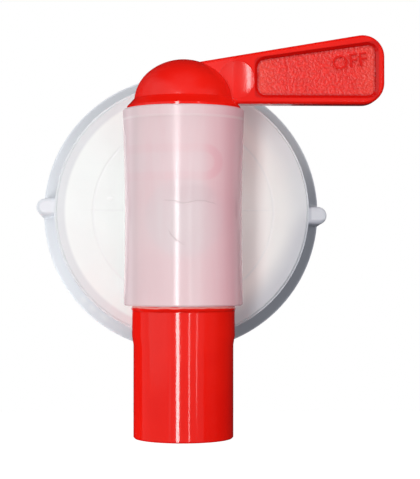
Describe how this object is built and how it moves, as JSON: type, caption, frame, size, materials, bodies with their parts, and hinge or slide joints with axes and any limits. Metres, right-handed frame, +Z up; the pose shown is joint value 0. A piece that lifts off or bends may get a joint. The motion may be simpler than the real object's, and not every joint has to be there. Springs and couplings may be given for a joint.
{
  "type": "canister tap",
  "caption": "Screw-on canister tap: a translucent cap with a barrel in front and a red ported key with dome, lever and spout.",
  "frame": {"origin": "centre of the cap's mouth plane, on the cap's axis", "axes": "+Y along the cap's axis, out of its mouth and into the canister; +Z up, along the barrel and the key; +X to the side that the closed lever points to"},
  "size_m": [0.0822, 0.049, 0.0926],
  "materials": {
    "natural_plastic": "satin",
    "red_plastic": "gloss",
    "white_foam": "matte"
  },
  "bodies": {
    "body": {"tap_body": "natural_plastic", "sealing_wad": "white_foam"},
    "key": {"key": "red_plastic"}
  },
  "joints": [
    {"name": "key_turn", "type": "hinge", "parent": "body", "child": "key", "pos_m": [0, -0.035, 0], "axis": [0, 0, -1], "range_deg": [0, 180]}
  ]
}
